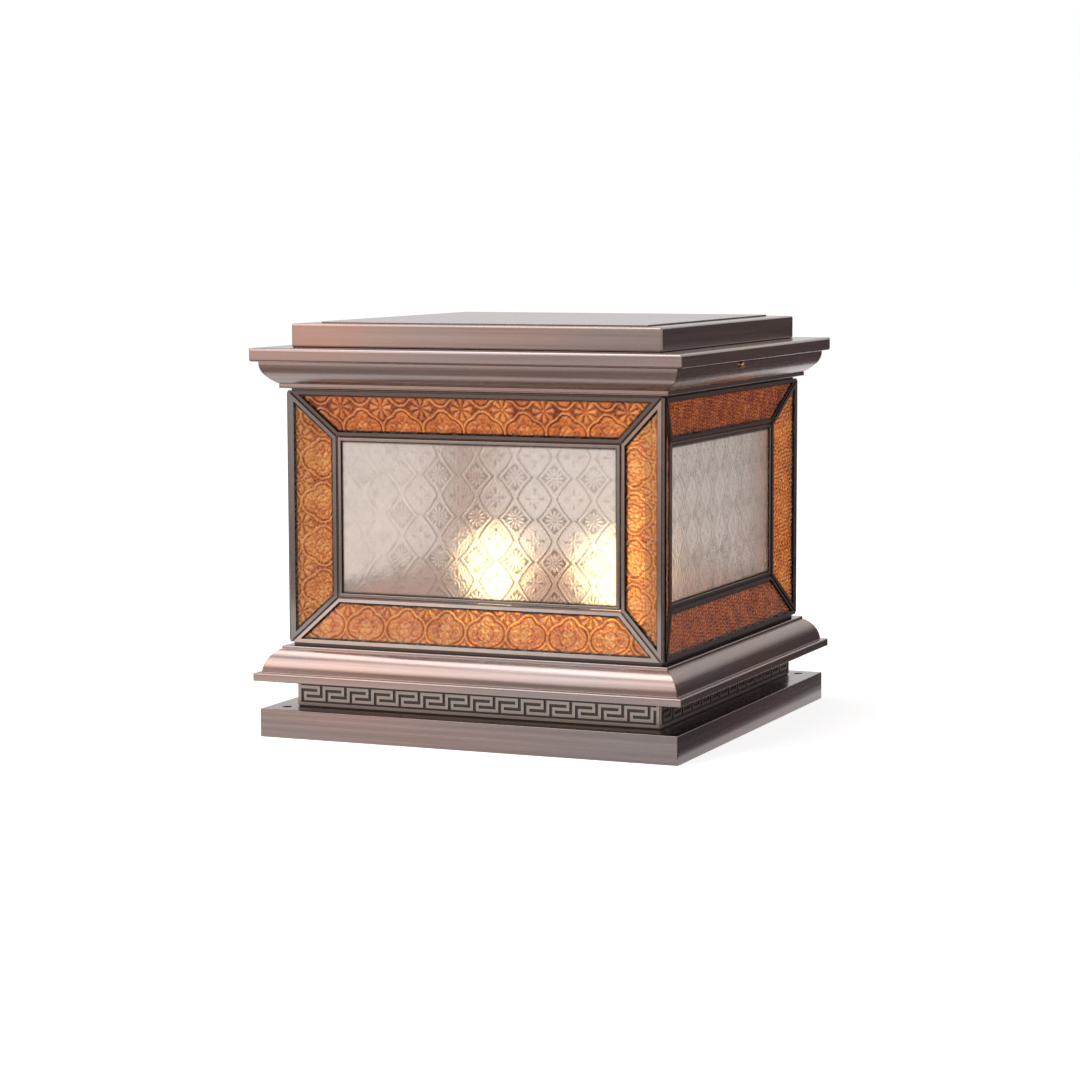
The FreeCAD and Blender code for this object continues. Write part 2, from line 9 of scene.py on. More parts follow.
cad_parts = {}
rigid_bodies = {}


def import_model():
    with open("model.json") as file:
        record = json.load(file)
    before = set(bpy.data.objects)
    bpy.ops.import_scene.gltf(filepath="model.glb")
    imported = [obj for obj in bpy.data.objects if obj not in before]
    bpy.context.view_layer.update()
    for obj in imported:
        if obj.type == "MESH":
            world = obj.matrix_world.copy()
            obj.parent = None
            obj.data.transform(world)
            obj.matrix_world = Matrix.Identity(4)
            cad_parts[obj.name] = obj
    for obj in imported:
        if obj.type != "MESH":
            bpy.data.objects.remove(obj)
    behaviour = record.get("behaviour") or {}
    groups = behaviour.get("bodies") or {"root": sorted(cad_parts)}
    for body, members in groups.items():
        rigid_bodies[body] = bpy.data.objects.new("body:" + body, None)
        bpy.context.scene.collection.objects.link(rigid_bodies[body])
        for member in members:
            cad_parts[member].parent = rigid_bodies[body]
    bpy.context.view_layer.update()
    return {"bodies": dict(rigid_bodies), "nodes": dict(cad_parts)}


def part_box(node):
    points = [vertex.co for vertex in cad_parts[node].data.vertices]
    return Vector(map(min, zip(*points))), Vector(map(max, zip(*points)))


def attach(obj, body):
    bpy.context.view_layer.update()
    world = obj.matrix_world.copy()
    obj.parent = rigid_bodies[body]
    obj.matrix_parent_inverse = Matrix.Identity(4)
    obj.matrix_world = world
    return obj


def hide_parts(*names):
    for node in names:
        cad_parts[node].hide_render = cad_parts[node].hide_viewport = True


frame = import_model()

# ---- View of the lantern ----
# A long lens from the right of the front, a little above the roof, which looks slightly down.
# The camera's frame is square, so the focal length is given against the sensor's width.
lens_place = Vector((0.80767, -1.92255, 0.34203))
lens_turn = math.radians(23.0)
lens_tilt = math.radians(5.96)
lens_roll = math.radians(-0.164)
sensor_mm = 36.0
frame_px = 1080.0
focal_px = 3009.73

view = bpy.data.cameras.new("view")
view.sensor_fit = "HORIZONTAL"
view.sensor_width = sensor_mm
view.lens = focal_px / frame_px * sensor_mm
view.clip_end = 100.0
camera = bpy.data.objects.new("view", view)
ahead = Vector((-math.sin(lens_turn) * math.cos(lens_tilt),
                math.cos(lens_turn) * math.cos(lens_tilt),
                -math.sin(lens_tilt)))
level_right = Vector((math.cos(lens_turn), math.sin(lens_turn), 0.0))
level_up = level_right.cross(ahead)
right = level_right * math.cos(lens_roll) + level_up * math.sin(lens_roll)
up = level_up * math.cos(lens_roll) - level_right * math.sin(lens_roll)
turn = Matrix((right, up, -ahead)).transposed().to_4x4()
camera.matrix_world = Matrix.Translation(lens_place) @ turn
bpy.context.scene.collection.objects.link(camera)
bpy.context.scene.camera = camera

# ---- Studio ----
# A white floor and surroundings, soft lamps at the front left and above, and cards that only the
# gloss sees, as a photographer sets them to shape metal: dark ones behind and on the floor at the
# right, a paler one low in front, and a warm bright one at the front left.
bpy.context.scene.view_settings.view_transform = "Standard"


def new_material(name):
    """Material with an empty node tree, and that tree."""
    material = bpy.data.materials.new(name)
    material.use_nodes = True
    material.node_tree.nodes.clear()
    return material, material.node_tree


def give(tree, value, socket):
    """Links a socket to another node's output, or sets it to a plain value."""
    if isinstance(value, bpy.types.NodeSocket):
        tree.links.new(value, socket)
    else:
        socket.default_value = value


def calculated(tree, operation, *values):
    """Result of one sum, whose values are numbers or other nodes' outputs."""
    node = tree.nodes.new("ShaderNodeMath")
    node.operation = operation
    for value, socket in zip(values, node.inputs):
        give(tree, value, socket)
    return node.outputs[0]


def ranged(tree, value, out_low, out_high, low=0.0, high=1.0):
    """A value carried from low..high to out_low..out_high, and held within them."""
    node = tree.nodes.new("ShaderNodeMapRange")
    ends = {"From Min": low, "From Max": high, "To Min": out_low, "To Max": out_high}
    for socket, end in ends.items():
        node.inputs[socket].default_value = end
    tree.links.new(value, node.inputs["Value"])
    return node.outputs[0]


def seen_as_background(tree):
    """1 for camera, glossy and transmission rays, 0 for the light that falls on things."""
    path = tree.nodes.new("ShaderNodeLightPath")
    seen = calculated(tree, "MAXIMUM", path.outputs["Is Camera Ray"], path.outputs["Is Glossy Ray"])
    return calculated(tree, "MAXIMUM", seen, path.outputs["Is Transmission Ray"])


def make_world():
    """White where it is seen, and dimmer as the light that falls on the lantern."""
    ambient, white = 0.38, 1.0
    world = bpy.data.worlds.new("surroundings")
    world.use_nodes = True
    tree = world.node_tree
    tree.nodes.clear()
    output = tree.nodes.new("ShaderNodeOutputWorld")
    background = tree.nodes.new("ShaderNodeBackground")
    background.inputs["Color"].default_value = (1.0, 1.0, 1.0, 1.0)
    strength = ranged(tree, seen_as_background(tree), ambient, white)
    tree.links.new(strength, background.inputs["Strength"])
    tree.links.new(background.outputs[0], output.inputs["Surface"])
    bpy.context.scene.world = world


def make_floor():
    """Matt sheet that takes the lantern's shadow, with a glow where it is seen that makes it white."""
    half, paper_grey, lift = 14.0, 0.8, 0.72
    corners = [(half * x, half * y, 0.0) for x, y in ((-1, -1), (1, -1), (1, 1), (-1, 1))]
    mesh = bpy.data.meshes.new("floor")
    mesh.from_pydata(corners, [], [tuple(range(len(corners)))])
    floor = bpy.data.objects.new("floor", mesh)
    bpy.context.scene.collection.objects.link(floor)
    material, tree = new_material("white_floor")
    output = tree.nodes.new("ShaderNodeOutputMaterial")
    paper = tree.nodes.new("ShaderNodeBsdfDiffuse")
    paper.inputs["Color"].default_value = (paper_grey, paper_grey, paper_grey, 1.0)
    glow = tree.nodes.new("ShaderNodeEmission")
    strength = calculated(tree, "MULTIPLY", seen_as_background(tree), lift)
    tree.links.new(strength, glow.inputs["Strength"])
    both = tree.nodes.new("ShaderNodeAddShader")
    tree.links.new(paper.outputs[0], both.inputs[0])
    tree.links.new(glow.outputs[0], both.inputs[1])
    tree.links.new(both.outputs[0], output.inputs["Surface"])
    mesh.materials.append(material)


def make_card(name, centre, facing, width, height, level):
    """Card of one brightness, which only gloss sees: a flag or a reflector beside the object."""
    mesh = bpy.data.meshes.new(name)
    w, h = width / 2, height / 2
    mesh.from_pydata([(-w, -h, 0), (w, -h, 0), (w, h, 0), (-w, h, 0)], [], [(0, 1, 2, 3)])
    card = bpy.data.objects.new(name, mesh)
    bpy.context.scene.collection.objects.link(card)
    card.location = centre
    card.rotation_euler = Vector(facing).to_track_quat("Z", "Y").to_euler()
    material, tree = new_material(name)
    output = tree.nodes.new("ShaderNodeOutputMaterial")
    glow = tree.nodes.new("ShaderNodeEmission")
    glow.inputs["Color"].default_value = (*level, 1.0)
    tree.links.new(glow.outputs[0], output.inputs["Surface"])
    mesh.materials.append(material)
    card.visible_camera = False
    card.visible_diffuse = False
    card.visible_transmission = False
    card.visible_shadow = False


def make_lamp(name, place, target, width, height, watts, colour):
    """Soft rectangular lamp at a place, aimed at a target."""
    data = bpy.data.lights.new(name, "AREA")
    data.shape = "RECTANGLE"
    data.size, data.size_y = width, height
    data.energy = watts
    data.color = colour
    lamp = bpy.data.objects.new(name, data)
    bpy.context.scene.collection.objects.link(lamp)
    lamp.location = place
    lamp.rotation_euler = (Vector(target) - Vector(place)).to_track_quat("-Z", "Y").to_euler()


make_world()
make_floor()
make_card("dark_card_back", (1.25, 2.3, 0.1), (-0.35, -0.94, 0.0), 2.6, 1.1, (0.15, 0.125, 0.125))
make_card("dark_card_low", (1.277, 1.05, 0.003), (0.0, 0.0, 1.0), 2.24, 3.4, (0.15, 0.12, 0.12))
make_card("dark_card_front", (-0.35, -0.62, 0.078), (0.0, 0.0, 1.0), 1.5, 0.78, (0.66, 0.54, 0.5))
make_card("warm_card_left", (-1.35, -1.7, 0.42), (0.55, 0.83, 0.0), 1.15, 0.84, (2.4, 1.85, 1.6))
make_lamp("key", (-1.7, -2.0, 1.7), (0, 0, 0.15), 2.0, 1.6, 30.0, (1.0, 0.96, 0.93))
make_lamp("top", (-0.75, -0.45, 2.3), (0, 0, 0.1), 1.6, 1.1, 27.0, (1.0, 1.0, 1.0))

# ---- Base plate ----
# Folded sheet tray under the lantern, plated in antique bronze and brushed along its sides.
# It is bolted down through a hole near each corner.
bevel_angle = math.radians(28.0)
flat_angle = math.radians(0.3)
join_distance = 2e-6


def weigh_by_room(shape, width):
    """Bevel weight of each sharp edge: a share of its narrower face's room, over the width, up to
    1. Room is twice the area over the perimeter. Mitres get a small weight and stay crisp."""
    mitre_weight, room_share, slip = 0.15, 0.42, 0.01
    shape.normal_update()
    weight = shape.edges.layers.float.new("bevel_weight_edge")
    for line in shape.edges:
        if len(line.link_faces) != 2 or line.calc_face_angle(0.0) <= bevel_angle:
            continue
        room = min(2 * face.calc_area() / face.calc_perimeter() for face in line.link_faces)
        normals = [face.normal for face in line.link_faces]
        mitre = any(abs(abs(n.x) - abs(n.y)) < slip and abs(n.z) < slip for n in normals)
        line[weight] = mitre_weight if mitre else min(1.0, room_share * room / width)


def finish_node(node, material, edge=0.0, segments=2, by_room=False):
    """Gives a CAD node its material. With an edge width, the node is replaced by a copy whose
    loose triangles are joined and whose sharp edges are rounded, as folding and polishing do.
    By room, each edge is rounded as far as its narrower face allows, and mitres stay crisp."""
    part = frame["nodes"][node]
    if not edge:
        part.data.materials.clear()
        part.data.materials.append(material)
        return
    shape = bmesh.new()
    shape.from_mesh(part.data)
    bmesh.ops.remove_doubles(shape, verts=shape.verts, dist=join_distance)
    bmesh.ops.dissolve_limit(shape, angle_limit=flat_angle, verts=shape.verts, edges=shape.edges)
    if by_room:
        weigh_by_room(shape, edge)
    mesh = bpy.data.meshes.new("finished_" + node)
    shape.to_mesh(mesh)
    shape.free()
    for label in ("custom_normal", "sharp_edge", "sharp_face"):
        if label in mesh.attributes:
            mesh.attributes.remove(mesh.attributes[label])
    mesh.polygons.foreach_set("use_smooth", [True] * len(mesh.polygons))
    mesh.materials.append(material)
    copy = bpy.data.objects.new("finished_" + node, mesh)
    bpy.context.scene.collection.objects.link(copy)
    bevel = copy.modifiers.new("rounded_edges", "BEVEL")
    bevel.width = edge
    bevel.segments = segments
    bevel.limit_method = "WEIGHT" if by_room else "ANGLE"
    bevel.angle_limit = bevel_angle
    bevel.harden_normals = True
    bevel.use_clamp_overlap = not by_room
    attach(copy, next(name for name, body in frame["bodies"].items() if body == part.parent))
    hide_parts(node)


def noise(tree, place, scale, detail=2.0):
    """Smooth random value between 0 and 1 at each place."""
    node = tree.nodes.new("ShaderNodeTexNoise")
    node.inputs["Scale"].default_value = scale
    node.inputs["Detail"].default_value = detail
    tree.links.new(place, node.inputs["Vector"])
    return node.outputs["Fac"]


def mixed(tree, factor, a, b, kind="RGBA"):
    """Blend from a to b by the factor; each is a plain value or another node's output."""
    node = tree.nodes.new("ShaderNodeMix")
    node.data_type = kind
    for socket, value in (("Factor", factor), ("A", a), ("B", b)):
        give(tree, value, node.inputs[socket])
    return node.outputs["Result"]


def object_place(tree):
    return tree.nodes.new("ShaderNodeTexCoord").outputs["Object"]


def make_brushed_group():
    """Fine lines along each bar, that meet at the mitres, with a slow drift of the plating's tint.
    A bar at the left or right has its X and Y swapped, so that its lines run along it."""
    group = bpy.data.node_groups.new("brushed_lines", "ShaderNodeTree")
    for name, kind in (("Warm", "Color"), ("Cool", "Color"), ("Mitred", "Float"),
                       ("Roughness", "Float"), ("Depth", "Float")):
        group.interface.new_socket(name, in_out="INPUT", socket_type="NodeSocket" + kind)
    for name, kind in (("Color", "Color"), ("Roughness", "Float"), ("Normal", "Vector")):
        group.interface.new_socket(name, in_out="OUTPUT", socket_type="NodeSocket" + kind)
    nodes, links = group.nodes, group.links
    given = nodes.new("NodeGroupInput")
    result = nodes.new("NodeGroupOutput")
    place = object_place(group)
    split = nodes.new("ShaderNodeSeparateXYZ")
    links.new(place, split.inputs[0])
    x, y, z = split.outputs
    beside = calculated(group, "GREATER_THAN", calculated(group, "ABSOLUTE", x),
                        calculated(group, "ABSOLUTE", y))
    swapped = nodes.new("ShaderNodeCombineXYZ")
    for value, socket in zip((y, x, z), swapped.inputs):
        links.new(value, socket)
    along_bar = mixed(group, calculated(group, "MULTIPLY", beside, given.outputs["Mitred"]),
                      place, swapped.outputs[0], "VECTOR")

    def lines(along, across, detail):
        """Noise with this many waves in a metre along the bar and across it."""
        stretch = nodes.new("ShaderNodeVectorMath")
        stretch.operation = "MULTIPLY"
        stretch.inputs[1].default_value = (along, across, across)
        links.new(along_bar, stretch.inputs[0])
        return noise(group, stretch.outputs[0], 1.0, detail)

    fine = lines(14.0, 2600.0, 2.0)
    coarse = lines(5.0, 420.0, 2.0)
    drift = lines(9.0, 16.0, 1.0)
    noise_low, noise_high = 0.3, 0.7
    darkest, lightest = 0.84, 1.12
    roughness_gain, roughness_offset = 0.2, -0.1
    scratch_depth = 0.00003
    tint = mixed(group, ranged(group, drift, 0.0, 1.0, noise_low, noise_high),
                 given.outputs["Warm"], given.outputs["Cool"])
    shaded = nodes.new("ShaderNodeVectorMath")
    shaded.operation = "SCALE"
    links.new(tint, shaded.inputs[0])
    links.new(ranged(group, coarse, darkest, lightest, noise_low, noise_high), shaded.inputs["Scale"])
    links.new(shaded.outputs[0], result.inputs["Color"])
    spread = calculated(group, "MULTIPLY_ADD", coarse, roughness_gain, roughness_offset)
    roughness = calculated(group, "ADD", spread, given.outputs["Roughness"])
    links.new(roughness, result.inputs["Roughness"])
    relief = nodes.new("ShaderNodeBump")
    relief.inputs["Distance"].default_value = scratch_depth
    links.new(fine, relief.inputs["Height"])
    links.new(given.outputs["Depth"], relief.inputs["Strength"])
    links.new(relief.outputs[0], result.inputs["Normal"])
    return group


brushed_lines = make_brushed_group()


def new_surface(name, plain):
    """Material of one Principled shader, whose sockets have these plain values."""
    material, tree = new_material(name)
    output = tree.nodes.new("ShaderNodeOutputMaterial")
    shader = tree.nodes.new("ShaderNodeBsdfPrincipled")
    for socket, value in plain.items():
        shader.inputs[socket].default_value = value
    tree.links.new(shader.outputs[0], output.inputs["Surface"])
    return material, tree, shader


def brushed_metal(name, warm, cool, roughness, depth=0.35, mitred=1.0):
    """Plated and brushed metal; mitred is 1 where the lines turn at the corners, 0 where not."""
    material, tree, shader = new_surface(name, {"Metallic": 1.0})
    lines = tree.nodes.new("ShaderNodeGroup")
    lines.node_tree = brushed_lines
    given = {"Warm": (*warm, 1.0), "Cool": (*cool, 1.0), "Mitred": mitred,
             "Roughness": roughness, "Depth": depth}
    for socket, value in given.items():
        lines.inputs[socket].default_value = value
    for socket, target in (("Color", "Base Color"), ("Roughness", "Roughness"), ("Normal", "Normal")):
        tree.links.new(lines.outputs[socket], shader.inputs[target])
    return material


bronze = brushed_metal("antique_bronze", (0.285, 0.19, 0.162), (0.225, 0.19, 0.185), 0.24)
base_bronze = brushed_metal("base_bronze", (0.225, 0.162, 0.148), (0.185, 0.158, 0.155), 0.26)
finish_node("base_plate", base_bronze, 0.0006, 3)

# ---- Cable grommet ----
# Black rubber ring pressed into the base plate's middle hole, where the supply cable comes up.
# It keeps the sheet's edge from the cable.


def plain_material(name, colour, roughness, metallic=0.0, speckle=0.06):
    """Even surface with a faint mottle in its colour and gloss."""
    mottle_scale, gloss_spread = 240.0, 0.15
    material, tree, shader = new_surface(name, {"Metallic": metallic})
    mottle = noise(tree, object_place(tree), mottle_scale)
    dark = (*[c * (1 - speckle) for c in colour], 1.0)
    light = (*[min(1.0, c * (1 + speckle)) for c in colour], 1.0)
    tree.links.new(mixed(tree, mottle, dark, light), shader.inputs["Base Color"])
    gloss = ranged(tree, mottle, roughness * (1 - gloss_spread),
                   min(1.0, roughness * (1 + gloss_spread)))
    tree.links.new(gloss, shader.inputs["Roughness"])
    return material


rubber = plain_material("grommet_rubber", (0.02, 0.02, 0.02), 0.6)
finish_node("cable_grommet", rubber)

# ---- Neck and key fret ----
# Black enamelled channel ring between the base plate and the lantern's body. A key fret cut from
# light bronze sheet is fixed to each of its faces.
black_enamel = plain_material("black_enamel", (0.012, 0.011, 0.011), 0.32)
fret_bronze = brushed_metal("fret_bronze", (0.27, 0.215, 0.185), (0.25, 0.21, 0.19), 0.3)
finish_node("neck_band", black_enamel)
finish_node("key_frets", fret_bronze)

# ---- Base moulding ----
# Four pressed lengths of bronze-plated sheet on the neck, mitred at the corners: bottom fillet,
# convex ovolo and top fillet.
SIDES = ("front", "right", "back", "left")
for side in SIDES:
    finish_node("base_moulding_" + side, bronze, 0.0014, 4, by_room=True)

# ---- Lamp tray, wiring and fixings ----
# Plain steel tray screwed to the neck. The terminal block stands on it, with insulated leads from
# the block to the lampholders, and the screws and nuts are zinc-plated.
tray_steel = brushed_metal("tray_steel", (0.26, 0.19, 0.15), (0.23, 0.18, 0.15), 0.35, 0.2, 0.0)
zinc = plain_material("zinc_steel", (0.55, 0.55, 0.56), 0.35, metallic=1.0)
white_plastic = plain_material("white_plastic", (0.75, 0.75, 0.72), 0.4, speckle=0.02)
insulation = plain_material("wire_insulation", (0.55, 0.5, 0.4), 0.5, speckle=0.02)
finish_node("lamp_tray", tray_steel)
finish_node("terminal_block", white_plastic)
finish_node("lead_wires", insulation)
finish_node("fixing_screws", zinc)

# ---- Lampholders and bulbs ----
# Glazed ceramic holders, screwed to the tray from below, and in each a lit bulb of frosted glass
# with a metal screw cap.
ceramic = plain_material("white_ceramic", (0.8, 0.78, 0.74), 0.2, speckle=0.02)
cap_metal = plain_material("cap_metal", (0.7, 0.68, 0.62), 0.28, metallic=1.0)


def lit_glass(name, colour, strength):
    """Frosted glass that glows all over in one colour."""
    frosted = {"Base Color": (0.9, 0.88, 0.82, 1.0), "Roughness": 0.4,
               "Emission Color": (*colour, 1.0), "Emission Strength": strength}
    material, _, _ = new_surface(name, frosted)
    return material


lit_bulb = lit_glass("lit_bulb", (1.0, 0.70, 0.35), 4.4)
for side in ("left", "right"):
    finish_node("lampholder_" + side, ceramic)
    finish_node("bulb_cap_" + side, cap_metal)
    finish_node("bulb_glass_" + side, lit_bulb)

# ---- Sill, corner posts, collar and sealing strip ----
# Dark steel frame that carries the glazed sides, seen as thin dark lines between the pieces. The
# collar on top takes the roof's skirt, and a foam rubber strip seals the two.
dark_steel = brushed_metal("dark_steel", (0.10, 0.085, 0.08), (0.085, 0.08, 0.08), 0.35)
post_steel = brushed_metal("post_steel", (0.17, 0.14, 0.125), (0.14, 0.125, 0.12), 0.33)
foam = plain_material("foam_rubber", (0.02, 0.02, 0.02), 0.8)
finish_node("sill_frame", dark_steel)
finish_node("corner_posts", post_steel)
finish_node("top_collar", dark_steel)
finish_node("roof_gasket", foam)

# ---- Channels round the panes ----
# Metal channels that hold the glass, soldered together at the mitres, with painted shade that makes
# them black in the grooves. Each side has a border round its ambers and a centre frame round its clear
# pane.
channel_edge, channel_segments = 0.00095, 4


def came_material():
    """Grey-brown soldered metal, turned black where it meets glass and in its grooves by how open a
    point is to its surroundings: painted shade, which also stands for the cement at the joints."""
    crevice_reach, closed, open_to_air = 0.002, 0.5, 0.9
    warm, cool = (0.24, 0.195, 0.175, 1.0), (0.19, 0.165, 0.155, 1.0)
    cement_and_shade_black = (0.01, 0.008, 0.007, 1.0)
    mottle_scale, glossy, rubbed = 90.0, 0.19, 0.27
    material, tree, shader = new_surface("came_metal", {"Metallic": 1.0})
    crevice = tree.nodes.new("ShaderNodeAmbientOcclusion")
    crevice.samples = 6
    crevice.inputs["Distance"].default_value = crevice_reach
    # Painted shade: where little of the surroundings is open, the metal turns to the cement's black.
    unshaded = ranged(tree, crevice.outputs["AO"], 0.0, 1.0, closed, open_to_air)
    mottle = noise(tree, object_place(tree), mottle_scale)
    colour = mixed(tree, unshaded, cement_and_shade_black, mixed(tree, mottle, warm, cool))
    tree.links.new(colour, shader.inputs["Base Color"])
    tree.links.new(ranged(tree, mottle, glossy, rubbed), shader.inputs["Roughness"])
    return material


came = came_material()
for side in SIDES:
    for name in ("border_came_", "centre_came_"):
        finish_node(name + side, came, channel_edge, channel_segments)

# ---- Panes ----
# Rolled glass, raised on its outer face and set in the channels. The ambers have a begonia pattern
# at the front and back and a hammered skin at the ends, and the clear panes a diaper pattern.
glass_thick = 0.0025


def ridge(distance, half_width):
    """Rounded ridge along a line: e to the minus (distance / half width) squared."""
    return np.exp(-(distance / half_width) ** 2)


def within(distance, blur):
    """1 where the distance is negative, 0 where it is positive, with a soft step between: one over
    (1 plus e to the distance / blur), with that power kept small enough to work out."""
    limit = 40
    return 1 / (1 + np.exp(np.clip(distance / blur, -limit, limit)))


def hammered(a, b, seed, wave):
    """Uneven skin of rolled glass: sines of like length in random directions, added up and
    divided by the square root of half their number."""
    waves, shortest, longest, whole_turn = 22, 0.7, 1.4, 6.283
    random = np.random.default_rng(seed)
    skin = np.zeros_like(a)
    for _ in range(waves):
        angle = random.uniform(0, math.pi)
        number = 2 * math.pi / (wave * random.uniform(shortest, longest))
        phase = random.uniform(0, whole_turn)
        skin += np.sin(number * (a * math.cos(angle) + b * math.sin(angle)) + phase)
    return skin / math.sqrt(waves / 2)


def petals(across, upward, count, turn, start, end, narrow):
    """Ring of petals between two radii: half plus half the cosine of count times the angle, to
    the power of narrow, which thins them."""
    start_blur, end_blur = 0.0003, 0.0004
    radius = np.hypot(across, upward)
    angle = np.arctan2(upward, across) - turn
    leaf = (0.5 + 0.5 * np.cos(count * angle)) ** narrow
    return leaf * within(start - radius, start_blur) * within(radius - end, end_blur)


def repeated(a, b, pitch, origin):
    """Distances from the nearest medallion's centre, and from the nearest flower's, which lies
    half a pitch across and up from it."""
    medal = [(v - o + pitch / 2) % pitch - pitch / 2 for v, o in zip((a, b), origin)]
    flower = [(v - o) % pitch - pitch / 2 for v, o in zip((a, b), origin)]
    return medal, flower


def begonia(a, b, origin, seed, figure, skin):
    """Amber glass, from -1 in the grooves to 1 on the ridges, at distances a across and b up.
    A medallion is four round lobes run together, with a curl in each lobe and four petals in the
    middle; an eight-petalled flower fills each gap. Figure and skin weigh the pattern against the
    hammered skin."""
    pitch, flare, wave = 0.0293, 0.0011, 0.0024
    line, crisp = 0.0006, 0.0003
    side_r, side_at, top_r, top_at = 0.29 * pitch, 0.21 * pitch, 0.222 * pitch, 0.236 * pitch
    side_curl, side_curl_at = 0.10 * pitch, 0.26 * pitch
    top_curl, top_curl_at = 0.085 * pitch, 0.25 * pitch
    groove_in, second_in, curls_in = 0.0014, 0.0026, 0.002
    ring_r, eye = 0.0055, 0.0013
    (ma, mb), (fa, fb) = repeated(a, b, pitch, origin)
    beside = np.hypot(np.abs(ma) - side_at, mb) - side_r
    above = np.hypot(ma, np.abs(mb) - top_at) - top_r
    edge = -flare * np.log(np.exp(-beside / flare) + np.exp(-above / flare))
    level = (1.1 * ridge(edge, line) - 0.75 * ridge(edge + groove_in, line)
             - 0.5 * within(-edge, crisp))
    level += 0.35 * ridge(edge + second_in, line)
    curls = np.minimum(np.abs(np.hypot(np.abs(ma) - side_curl_at, mb) - side_curl),
                       np.abs(np.hypot(ma, np.abs(mb) - top_curl_at) - top_curl))
    level += 0.5 * ridge(curls, line) * within(edge + curls_in, crisp)
    level += (0.8 * petals(ma, mb, 4, math.pi / 4, start=0.001, end=0.0045, narrow=1.5)
              - 0.5 * ridge(np.hypot(ma, mb) - ring_r, line))
    level += (1.35 * petals(fa, fb, 8, 0.0, start=0.0018, end=0.0075, narrow=0.9)
              + 0.9 * ridge(np.hypot(fa, fb), eye))
    return np.clip(figure * level + skin * hammered(a, b, seed, wave), -1, 1)


def diaper(a, b, origin, seed):
    """Clear glass, from -1 to 1 likewise: ogee medallions with a sunk cross and four dots, and
    small diamonds between them with a sunk ground and a twelve-petalled flower. A medallion ends
    where (across / half width) and (up / half height), each to the power, add up to 1."""
    pitch, wave, skin = 0.0276, 0.0022, 0.15
    half_width, half_height, power, steepness = 0.482 * pitch, 0.598 * pitch, 1.2, 0.37
    diamond = 0.375 * pitch
    rim, groove, groove_in = 0.0005, 0.0006, 0.0010
    ground_in, crisp = 0.0008, 0.0003
    dot_at, dot, swell_in, swell_blur, swell_r = 0.0028, 0.0009, 0.001, 0.001, 0.0135
    (ma, mb), (fa, fb) = repeated(a, b, pitch, origin)
    shape = (np.abs(ma / half_width) ** power + np.abs(mb / half_height) ** power) ** (1 / power)
    edge = (shape - 1) * steepness * pitch
    field = (np.abs(fa) + np.abs(fb) - diamond) / math.sqrt(2)
    ground = within(field + ground_in, crisp)
    level = 0.3 * ridge(edge, rim) - 0.9 * ridge(edge + groove_in, groove)
    level += 0.3 * ridge(field, rim) - 0.85 * ground
    level += 1.5 * petals(fa, fb, 12, 0.0, start=0.0009, end=0.0060, narrow=0.8) * ground
    level += 0.7 * ridge(np.hypot(fa, fb), dot)
    level -= 0.9 * petals(ma, mb, 4, 0.0, start=0.0020, end=0.0068, narrow=6.0)
    level -= 0.7 * ridge(np.hypot(np.abs(ma) - dot_at, np.abs(mb) - dot_at), dot)
    swell = 1 - (np.hypot(ma, mb) / swell_r) ** 2
    level += 0.3 * within(edge + swell_in, swell_blur) * swell
    return np.clip(level + skin * hammered(a, b, seed, wave), -1, 1)


def outward(corners):
    """Unit normal of a flat polygon, whose corners run anticlockwise as seen from outside."""
    normal = np.cross(corners[1] - corners[0], corners[2] - corners[1])
    return normal / np.linalg.norm(normal)


def inset_corners(corners, insets):
    """Corners of a flat polygon with its edge i, which starts at corner i, moved inwards by
    insets[i]. A new corner is where two neighbouring moved edges cross."""
    normal = outward(corners)
    lines = []
    for corner, following, inset in zip(corners, np.roll(corners, -1, axis=0), insets):
        along = (following - corner) / np.linalg.norm(following - corner)
        inward = np.cross(normal, along)
        lines.append((corner + inward * inset, along, inward))
    moved = []
    for i, (other, _, inward) in enumerate(lines):
        start, along, _ = lines[i - 1]
        moved.append(start + along * (np.dot(other - start, inward) / np.dot(along, inward)))
    return np.array(moved)


def turned_to(points, index):
    """Points of the front side, turned to the side of that index."""
    angle = index * math.pi / 2
    c, s = math.cos(angle), math.sin(angle)
    return points @ np.array([[c, s, 0], [-s, c, 0], [0, 0, 1]])


def bilinear(corners, s, t):
    """Points of a patch of four corners, at the shares s across and t up."""
    s, t = s[..., None], t[..., None]
    low = corners[0] * (1 - s) + corners[1] * s
    high = corners[3] * (1 - s) + corners[2] * s
    return low * (1 - t) + high * t


def around(grid):
    """Values along the rim of a grid, once round from its first."""
    return np.concatenate([grid[0, :-1], grid[:-1, -1], grid[-1, :0:-1], grid[:0:-1, 0]])


